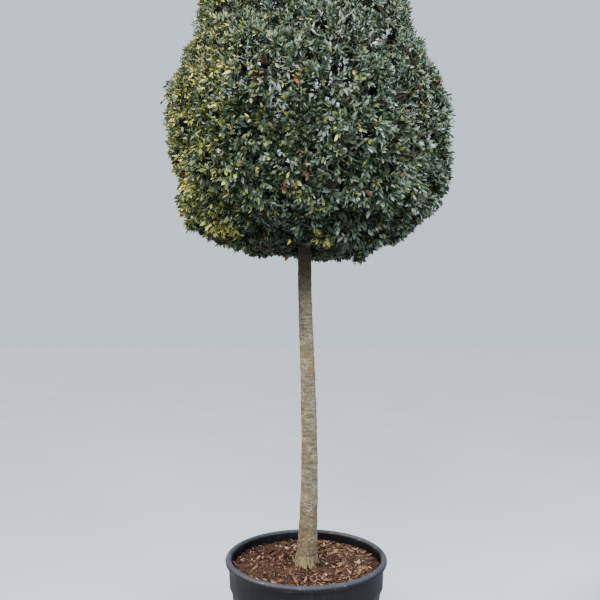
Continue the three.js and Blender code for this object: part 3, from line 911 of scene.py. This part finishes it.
class Surface:
    """A material under way, with short names for its nodes and links."""

    def __init__(self, name):
        self.material = bpy.data.materials.new(name)
        self.material.use_nodes = True
        self.tree = self.material.node_tree
        self.place = self.add("TexCoord", "Object")

    def give(self, sockets, values):
        """Link each socket to another node, or set it to a number or a colour on screens."""
        for name, value in values.items():
            if isinstance(value, bpy.types.NodeSocket):
                self.tree.links.new(value, sockets[name])
            else:
                colour = sockets[name].type == "RGBA"
                sockets[name].default_value = (*linear(value), 1) if colour else value

    def add(self, kind, output, values=None, **settings):
        """The output of a new node."""
        node = self.tree.nodes.new("ShaderNode" + kind)
        for name, value in settings.items():
            setattr(node, name, value)
        self.give(node.inputs, values or {})
        return node.outputs[output]

    def stretched(self, scale, shift=(0, 0, 0)):
        values = {"Vector": self.place, "Scale": scale, "Location": shift}
        return self.add("Mapping", "Vector", values)

    def noise(self, scale, detail=4, roughness=0.6, distortion=0):
        """Clouds, by how many of them fit in a metre, or in one of x, y and z."""
        place = self.stretched(np.broadcast_to(scale, 3))
        values = dict(Scale=1, Detail=detail, Roughness=roughness, Distortion=distortion)
        return self.add("TexNoise", "Fac", {"Vector": place, **values})

    def ranged(self, value, low, high, to_low=0, to_high=1):
        values = dict(enumerate((value, low, high, to_low, to_high)))
        return self.add("MapRange", "Result", values)

    def combined(self, operation, first, second):
        return self.add("Math", "Value", {0: first, 1: second}, operation=operation)

    def product(self, first, second):
        return self.combined("MULTIPLY", first, second)

    def coated(self, tone, coats):
        """A tone under coats of colour, by a cover or a texture, its range and fullest cover."""
        for cover, *span, colour in coats:
            if span:
                low, high, most = span
                cover = self.ranged(cover, low, high, 0, most)
            tone = self.add("Mix", 2, {0: cover, 6: tone, 7: colour}, data_type="RGBA")
        return tone

    def upward(self, vector):
        """The height of a place, or the upward part of a direction."""
        return self.add("SeparateXYZ", "Z", {"Vector": vector})

    def near(self, middle, reach):
        """From 1 at a spot to 0 at its reach, which has three sizes."""
        scale = [1 / size for size in reach]
        shift = [-at / size for at, size in zip(middle, reach)]
        offset = {0: self.stretched(scale, shift)}
        distance = self.add("VectorMath", "Value", offset, operation="LENGTH")
        return self.ranged(distance, 0.2, 1, 1, 0)

    def complete(self, tone, clouds, dullness, shine=0.5, relief=None):
        """The material, with relief as a texture, a strength and a distance."""
        roughness = self.ranged(clouds, 0.3, 0.7, *dullness)
        values = {"Base Color": tone, "Roughness": roughness, "Specular IOR Level": shine}
        if relief:
            relief = dict(zip(("Height", "Strength", "Distance"), relief))
            values["Normal"] = self.add("Bump", "Normal", relief)
        self.give(self.tree.nodes["Principled BSDF"].inputs, values)
        return self.material


def plain_material(name, colour, patches, dullness, grain, strength, detail=4, shine=0.3):
    """A material of one colour, with duller and glossier patches and a fine grain."""
    surface = Surface(name)
    clouds = surface.noise(patches, detail)
    relief = (surface.noise(grain, detail), strength, 0.002)
    return surface.complete(colour, clouds, dullness, shine, relief)


def leaf_material(name, colour):
    return plain_material(name, colour, 60, (0.34, 0.6), 260, 0.25, 2, 0.5)


def litter_material(name, colour):
    return plain_material(name, colour, 90, (0.65, 0.95), 320, 0.4)


def twig_material(name, colour):
    return plain_material(name, colour, (200, 200, 60), (0.7, 0.95), 240, 0.3)


def bark_material():
    bark = Surface("oak_bark")
    streaks = bark.noise((24, 24, 88), 5, 0.68)
    wrinkles = bark.noise((46, 46, 300), 3, 0.6, 0.3)
    cracks = bark.noise((170, 170, 34), 4, 0.6, 0.4)
    blotches = bark.noise((15, 15, 8))
    algae = bark.noise((9, 9, 15), 3)
    stain = bark.product(bark.near(STAIN, STAIN_REACH), streaks)
    clusters = bark.ranged(bark.noise((16, 16, 20), 2), 0.42, 0.58, 0.78, 1)
    pale = bark.product(bark.noise((95, 95, 210), 3), clusters)
    height = bark.upward(bark.place)
    # Above the clear trunk the bark darkens, as painted shade under the crown.
    shade = bark.combined("ADD", height, bark.product(blotches, 0.16))
    tone = bark.coated((84, 78, 65), [
        (streaks, 0.37, 0.64, 1, (134, 126, 108)),
        (algae, 0.46, 0.68, 0.6, (118, 110, 82)),
        (blotches, 0.52, 0.68, 0.7, (112, 92, 64)),
        (stain, 0.1, 0.5, 0.65, (130, 104, 66)),
        (wrinkles, 0.54, 0.7, 0.7, (74, 67, 53)),
        (cracks, 0.54, 0.72, 0.7, (62, 54, 43)),
        (pale, 0.54, 0.63, 0.55, (200, 190, 160)),
        (height, 0.57, 0.485, 0.5, (84, 74, 60)),
        (shade, 1.78, 1.98, 0.6, (58, 50, 40)),
        (shade, 1.98, 2.18, 0.6, (40, 36, 31)),
    ])
    relief = bark.combined("SUBTRACT", wrinkles, bark.product(cracks, 0.8))
    return bark.complete(tone, streaks, (0.95, 0.75), 0.3, (relief, 0.7, 0.004))


def pot_material():
    pot = Surface("weathered_black_plastic")
    clouds = pot.noise((9, 9, 5), 5)
    streaks = pot.noise((75, 75, 3.5))
    grime = pot.noise(160, 3)
    scuffs = pot.noise((22, 22, 60), 5, 0.7)
    height = pot.upward(pot.place)
    facing = pot.upward(pot.add("NewGeometry", "Normal"))
    on_panel = pot.near((0, -0.355, 0.305), (0.17, 0.08, 0.062))
    on_lip = pot.ranged(height, 0.488, 0.503)
    weather = pot.product(pot.ranged(facing, 0.05, 0.8), on_lip)
    weather = pot.product(weather, pot.ranged(clouds, 0.2, 0.6, 0.7, 1))
    low = pot.ranged(height, 0, 0.075, 0.75, 0)
    tone = pot.coated((14, 14, 16), [
        (clouds, 0.35, 0.7, 1, (23, 23, 26)),
        (streaks, 0.54, 0.74, 0.45, (52, 52, 54)),
        (pot.product(on_panel, pot.ranged(clouds, 0.3, 0.6, 0.03, 0.09)), (116, 110, 100)),
        (weather, (68, 71, 79)),
        (pot.product(pot.ranged(scuffs, 0.58, 0.68, 0, 0.5), on_lip), (112, 112, 114)),
        (pot.product(low, pot.ranged(clouds, 0.35, 0.6)), (92, 80, 66)),
        (grime, 0.62, 0.74, 0.28, (96, 93, 88)),
    ])
    return pot.complete(tone, clouds, (0.46, 0.66), 0.35, (grime, 0.12, 0.001))


def soil_material():
    soil = Surface("potting_soil")
    crumbs = soil.noise(70, 6)
    tone = soil.coated((46, 34, 28), [
        (crumbs, 0.35, 0.65, 1, (88, 65, 50)),
        (soil.noise(11), 0.45, 0.65, 0.6, (108, 84, 62)),
    ])
    return soil.complete(tone, crumbs, (0.85, 1), 0.25, (crumbs, 0.8, 0.006))


def floor_material():
    floor = Surface("pale_floor")
    clouds = floor.noise(0.6, 2)
    tone = floor.coated((182, 189, 200), [(clouds, 0.3, 0.7, 1, (187, 194, 205))])
    return floor.complete(tone, clouds, (0.8, 0.9))


# Pot


def stretch(start, end, rows):
    """A straight stretch of a profile, without its start."""
    return lerp(np.array(start), np.array(end), np.linspace(0, 1, rows + 1)[1:, None])


def arc(middle, size, turns):
    return middle + stacked(np.cos(turns), np.sin(turns)) * size


def pot_profile():
    """Radius and height up the outside, over the lip and down the inside."""
    band_foot = STEP_HEIGHT + STEP_RISE
    band_radius = BODY_TOP_RADIUS + STEP_OUT
    foot_middle = FOOT_RADIUS - FOOT_ROUND
    lip = np.array([LIP_WIDTH, LIP_HEIGHT]) / 2
    lip_middle = (RIM_RADIUS, POT_HEIGHT) - lip
    step = np.linspace(0, 1, 7)[1:]
    swell = lerp(BODY_TOP_RADIUS, band_radius, smoothstep(0, 1, step))
    return np.concatenate([
        [(foot_middle - 0.001, 0)],
        arc((foot_middle, FOOT_ROUND), FOOT_ROUND, np.linspace(-math.pi / 2, 0, 6)),
        stretch((FOOT_RADIUS, FOOT_ROUND), (BODY_TOP_RADIUS, STEP_HEIGHT), BODY_ROWS),
        stacked(swell, STEP_HEIGHT + STEP_RISE * step),
        stretch((band_radius, band_foot), (band_radius + WALL, POT_HEIGHT - LIP_HEIGHT), 6),
        arc(lip_middle, lip, np.linspace(-LIP_CURL, math.pi, 20)),
        stretch(lip_middle - (lip[0], 0), (band_radius - WALL, band_foot), 5),
        [(BODY_TOP_RADIUS - WALL, STEP_HEIGHT), (FOOT_RADIUS - WALL, FLOOR)],
    ])


def pot_relief(rings, radius):
    """How far ribs, the bare panel, waves and wear stand out from the pot's skin."""
    turn = full_turn(POT_SEGMENTS)
    height = rings[..., 2]
    outside = np.arange(len(rings))[:, None] < ROWS_BELOW_STEP
    over = np.maximum(PANEL_BOTTOM - height, height - PANEL_TOP)
    aside = np.abs(signed(turn + math.pi / 2)) * radius - PANEL_HALF_WIDTH
    beyond = np.maximum(aside, over)
    panel = smoothstep(PANEL_EDGE, 0, beyond) * outside
    edge = np.exp(-((beyond / PANEL_EDGE) ** 2)) * outside
    on_body = smoothstep(*RIB_FOOT, height) * smoothstep(*RIB_HEAD, height) * outside
    ribs = RIB_DEPTH * np.clip(np.cos(RIBS * turn) * 2.2 - 1.2, 0, 1) * on_body * (1 - panel)
    wave = POT_WAVE * noise(rings * (3.5, 3.5, 5), 3) * smoothstep(0.02, 0.2, height)
    wear = POT_WEAR * noise(rings * 60, 4) * (height > WORN_ABOVE)
    return ribs + PANEL_RISE * panel + PANEL_EDGE_RISE * edge + wave + wear


def make_pot():
    profile = pot_profile()
    radius = profile[:, :1]
    rings = turned(profile, POT_SEGMENTS)
    rings[..., :2] *= (1 + pot_relief(rings, radius) / radius)[..., None]
    make_piece("pot_shell", closed_turning(rings), pot_material(), ["pot"])


# Soil and litter


def soil_height(radius):
    rise = SOIL_RISE * smoothstep(*SOIL_RISE_SPAN, radius)
    return SOIL_HEIGHT + rise - SOIL_FALL * smoothstep(*SOIL_FALL_SPAN, radius)


def make_soil():
    radii = SOIL_RADIUS * np.linspace(0.004, 1, SOIL_RINGS)[::-1] ** 0.9
    surface = stacked(radii, soil_height(radii))
    sides = [(FOOT_RADIUS - SOIL_INSET, SOIL_FLOOR), (BODY_TOP_RADIUS - SOIL_INSET, STEP_HEIGHT)]
    rings = turned(np.concatenate([sides, surface]), SOIL_SEGMENTS)
    top = rings[len(sides):]
    lumps = enumerate(SOIL_LUMPS, 21)
    top[..., 2] += sum(height * noise(top / width, seed) for seed, (height, width) in lumps)
    make_piece("soil_bed", closed_turning(rings), soil_material(), ["soil"])


def scattered(count, rng):
    """Places on the soil, with headings and with upward directions that lean at random."""
    radius = np.sqrt(rng.uniform(LITTER_GAP**2, LITTER_RADIUS**2, count))
    places = around(radius, rng.uniform(0, TAU, count), soil_height(radius))
    normals = unit(UP + rng.normal(0, LITTER_LEAN, (count, 3)))
    return places, square_to(rng.normal(0, 1, (count, 3)), normals), normals


def dry_leaves(rng):
    """Curled leaves that lie in patches."""
    places, headings, normals = scattered(DRY_LEAVES, rng)
    lying = noise(places / 0.1, 62) > rng.uniform(-0.9, 0.7, DRY_LEAVES)
    places, headings, normals = places[lying], headings[lying], normals[lying]
    count = len(places)
    tints = litter_tints(places, rng, 1.9)
    places[:, 2] += lerp(*DRY_LEAF_LIFT, rng.beta(1.4, 2.2, count))
    sizes = lerp(*DRY_LEAF_LENGTH, rng.beta(1.6, 2.6, count))
    roots = places - headings * sizes[:, None] / 2
    form = (rng.uniform(*span, count) for span in DRY_LEAF_FORM)
    leaves = Leaves(roots, headings, normals, sizes, *form)
    return tints, blades(LEAF_SHAPE, leaves), LEAF_SHAPE[2]


def bits(rng, corners, faces, count, longest, slimness, flatness, lift):
    """Bits of bark and soil as crooked blocks or lumps."""
    middles, headings, normals = scattered(count, rng)
    tints = litter_tints(middles, rng, 0.6)
    middles[:, 2] += lift * rng.beta(1.3, 2.4, count)
    length = longest * lerp(0.22, 1.0, rng.beta(1.4, 3.2, count))
    width = length * rng.uniform(*slimness, count)
    thickness = length * rng.uniform(*flatness, count)
    sizes = stacked(length, width, thickness)[:, None]
    axes = np.stack([headings, np.cross(normals, headings), normals], axis=1)
    crooked = corners * rng.uniform(0.7, 1.1, (count, len(corners), 3)) * sizes
    return tints, crooked @ axes + middles[:, None], faces


def make_litter():
    rng = np.random.default_rng(41)
    kinds = [
        dry_leaves(rng),
        bits(rng, CHIP_CORNERS, CHIP_FACES, **CHIPS),
        bits(rng, CRUMB_CORNERS, CRUMB_FACES, **CRUMBS),
    ]
    for index, (tint, (colour, _)) in enumerate(LITTER_TINTS.items()):
        parts = [merged(shapes[tints == index], faces) for tints, shapes, faces in kinds]
        name = f"litter_{tint}"
        piece = make_piece(name, joined(parts), litter_material(name, colour), ["soil"])
        piece.data.shade_flat()


# Trunk, roots and boughs


def bark_relief(points, turns, radii):
    """How far the bark stands out or in at each point of the trunk."""
    heights = points[..., 2]
    foot = np.exp((TRUNK_FOOT - heights) / STRAND_HEIGHT)
    relief = BARK_SWELL * noise(points / 0.11, 31)
    relief += BARK_RINGS * (ridges(points / (0.034, 0.034, 0.008), 32) ** 2 - 0.5)
    relief += BARK_BANDS * noise(points / (0.055, 0.055, 0.018), 33)
    relief -= BARK_CRACKS * ridges(points / (0.0085, 0.0085, 0.055), 34) ** 7
    relief += BARK_PLATES * noise(points / 0.009, 35)
    relief += FOOT_STRANDS * foot * (ridges(points / (0.008, 0.008, 0.075), 36) ** 2 - 0.55)
    for knot_height, knot_turn in KNOTS:
        aside = signed(turns - knot_turn) * radii
        distance = np.hypot(heights - knot_height, aside) / KNOT_SIZE
        relief += KNOT_HEIGHT * (np.exp(-(distance**2)) - 0.55 * np.exp(-((distance * 2.2) ** 2)))
    return relief * np.minimum(1, radii / FULL_RELIEF_RADIUS)


def make_trunk(bark):
    clear = np.linspace(TRUNK_FOOT, CLEAR_TRUNK_TOP, CLEAR_RINGS, endpoint=False)
    hidden = np.linspace(CLEAR_TRUNK_TOP, TRUNK_TIP, CROWN_RINGS)
    heights = np.concatenate([clear, hidden])[:, None]
    turns = full_turn(TRUNK_SIDES)
    fade = np.exp((TRUNK_FOOT - heights) / ROOT_LOBE_HEIGHT)
    radii = trunk_radius(heights) + ROOT_LOBE_DEPTH * fade * np.cos(ROOT_LOBES * turns)
    axis = trunk_centre(heights)
    outward = around(1, turns, 0 * heights)
    points = axis + outward * radii[..., None]
    points = points + outward * bark_relief(points, turns, radii)[..., None]
    skin = closed_rings(points, axis[0, 0], axis[-1, 0] + UP * 0.002)
    make_piece("trunk_bark", skin, bark, ["trunk"])


def make_root_fibres():
    """Fine pale roots that run down the trunk's foot and out over the soil."""
    rng = np.random.default_rng(23)
    turn = rng.uniform(0, TAU, FIBRES)
    outward = around(1, turn, 0)
    front = np.clip(-np.sin(turn), 0, 1) ** 3
    ahead = around(1, turn + rng.normal(0, 0.3, FIBRES), 0)
    ahead = unit(ahead + front[:, None] * (0, -1.2, 0))
    top = rng.uniform(*FIBRE_TOP, FIBRES)
    bark = trunk_radius(top) + ROOT_LOBE_DEPTH / 2 * np.cos(ROOT_LOBES * turn)
    feet = trunk_centre(top) + outward * bark[:, None]
    middle, edge = trunk_centre(TRUNK_FOOT), trunk_radius(TRUNK_FOOT)
    reach = edge + lerp(*FIBRE_REACH, rng.beta(1.3, 2.0, FIBRES))
    reach = reach + FIBRE_FRONT_REACH * front * rng.uniform(0.3, 1.0, FIBRES)
    ends = middle + ahead * reach[:, None]
    ends[:, 2] = soil_height(reach) + rng.uniform(0.003, 0.009, FIBRES)
    knee = edge + FIBRE_KNEE
    bends = middle + outward * knee
    bends[:, 2] = soil_height(knee) + rng.uniform(0.006, 0.016, FIBRES)
    points, *faces = tapering((feet, bends, ends), FIBRE_RADIUS, 8, 4)
    mesh = (points + FIBRE_CROOK * wander(points, 0.014, 91), *faces)
    pale = twig_material("pale_roots", (150, 137, 112))
    make_piece("root_fibres", mesh, pale, ["trunk"])


def bough_path(space):
    """Centre points and radii along a bough and the stem of its mass."""
    if space.name == "tip":
        share = np.linspace(0, 1, 12)
        return bezier(*stem_line(space), share), lerp(TIP_DIAMETER / 2, TWIG_RADIUS[0], share)
    share = np.linspace(0, 1, 30)
    line = bezier(*bough_line(space), share)
    beyond = norm(line - line[0]) - trunk_radius(line[0, 2])
    collar = 1 + BOUGH_COLLAR * np.exp(-np.maximum(beyond, 0) / COLLAR_REACH)
    thick = space.bough * collar * lerp(1, BOUGH_TAPER, share)
    further = np.linspace(0, 1, 15)[1:]
    path = np.concatenate([line, bezier(*stem_line(space), further)])
    thin = lerp(space.bough * BOUGH_TAPER, TWIG_RADIUS[0], further)
    return path, np.concatenate([thick, thin])


def make_boughs(bark):
    parts = []
    for space in SPACES:
        path, radii = bough_path(space)
        points, *faces = tubes(path[None], radii[None], BOUGH_SIDES)
        offset = points - np.repeat(path, BOUGH_SIDES, axis=0)
        rough = 0.05 * noise(points / 0.02, 51) + 0.06 * ridges(points / 0.009, 52) ** 3
        parts.append((points + offset * rough[:, None], *faces))
    boughs = sorted(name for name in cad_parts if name.startswith("bough_"))
    make_piece("bough_bark", joined(parts), bark, boughs)


# The crown's twigs and leaves


def make_leaves(tint, colour, shape, leaves):
    name = f"leaves_{tint}"
    mesh = merged(blades(shape, leaves), shape[2])
    make_piece(name, mesh, leaf_material(name, colour), MASSES)


def make_crown():
    families = zip(*(crown_twigs(space) for space in SPACES))
    main, branchlets, outer, inner = (together(*family) for family in families)
    twigs = [tapering(main, TWIG_RADIUS, 6, 6), tapering(branchlets, BRANCHLET_RADIUS, 4, 4)]
    bark = twig_material("twig_bark", (66, 58, 47))
    make_piece("twigs", joined(twigs), bark, MASSES)
    shoots = [tapering(outer, SHOOT_RADIUS, 2, 3), tapering(inner, SHOOT_RADIUS, 1, 3)]
    bark = twig_material("shoot_bark", (84, 76, 56))
    make_piece("shoots", joined(shoots), bark, MASSES)

    rng = np.random.default_rng(7)
    leaves = leaves_along(outer, LEAVES_ON_SHOOT, rng)
    kept = growing(leaves)
    leaves = picked(leaves, kept)
    shoot = np.repeat(np.arange(len(outer[0])), LEAVES_ON_SHOOT)[kept]
    weights = leaf_tint_weights(outer[2])
    spray_tints = drawn(weights, rng)[shoot]
    odd = rng.uniform(0, 1, len(shoot)) < ODD_LEAVES
    tints = np.where(odd, drawn(weights[shoot], rng), spray_tints)
    shaded = leaves_along(inner, LEAVES_ON_INNER_SHOOT, rng)
    shaded = picked(shaded, growing(shaded))
    make_leaves("shade", SHADE_TINT, SHADED_LEAF_SHAPE, shaded)
    for index, (tint, (colour, _)) in enumerate(LEAF_TINTS.items()):
        make_leaves(tint, colour, LEAF_SHAPE, picked(leaves, tints == index))


# Studio


def add_light(name, kind, stand, heading, **settings):
    """A light at a stand, turned from straight down to its heading."""
    light = bpy.data.lights.new(name, kind)
    for setting, value in settings.items():
        setattr(light, setting, value)
    x, y, z = heading
    placed(name, light, stand, (math.atan2(math.hypot(x, y), -z), 0, math.atan2(-x, y)))


def make_studio():
    rim = around(FLOOR_RADIUS, full_turn(FLOOR_SIDES), -FLOOR_DROP)
    floor = mesh_object("floor", rim, np.arange(FLOOR_SIDES)[None])
    floor.data.materials.append(floor_material())

    world = bpy.data.worlds.new("soft_sky")
    world.use_nodes = True
    background = world.node_tree.nodes["Background"]
    background.inputs["Color"].default_value = SKY_COLOUR
    background.inputs["Strength"].default_value = SKY_STRENGTH
    bpy.context.scene.world = world

    add_light("sun", "SUN", (0, 0, 0), SUN_HEADING, **SUN)
    for name, (stand, aim, size, power, colour) in SOFT_LIGHTS.items():
        settings = dict(shape="DISK", size=size, energy=power, color=colour)
        add_light(name, "AREA", stand, np.subtract(aim, stand), **settings)
    bpy.context.scene.view_settings.look = "AgX - Medium High Contrast"


def make_camera():
    camera = bpy.data.cameras.new("camera")
    camera.lens = LENS
    bpy.context.scene.camera = placed("camera", camera, EYE, (CAMERA_TILT, 0, CAMERA_TURN))


make_camera()
make_studio()
make_pot()
make_soil()
make_litter()
oak_bark = bark_material()
make_trunk(oak_bark)
make_boughs(oak_bark)
make_root_fibres()
make_crown()

bpy.context.view_layer.update()
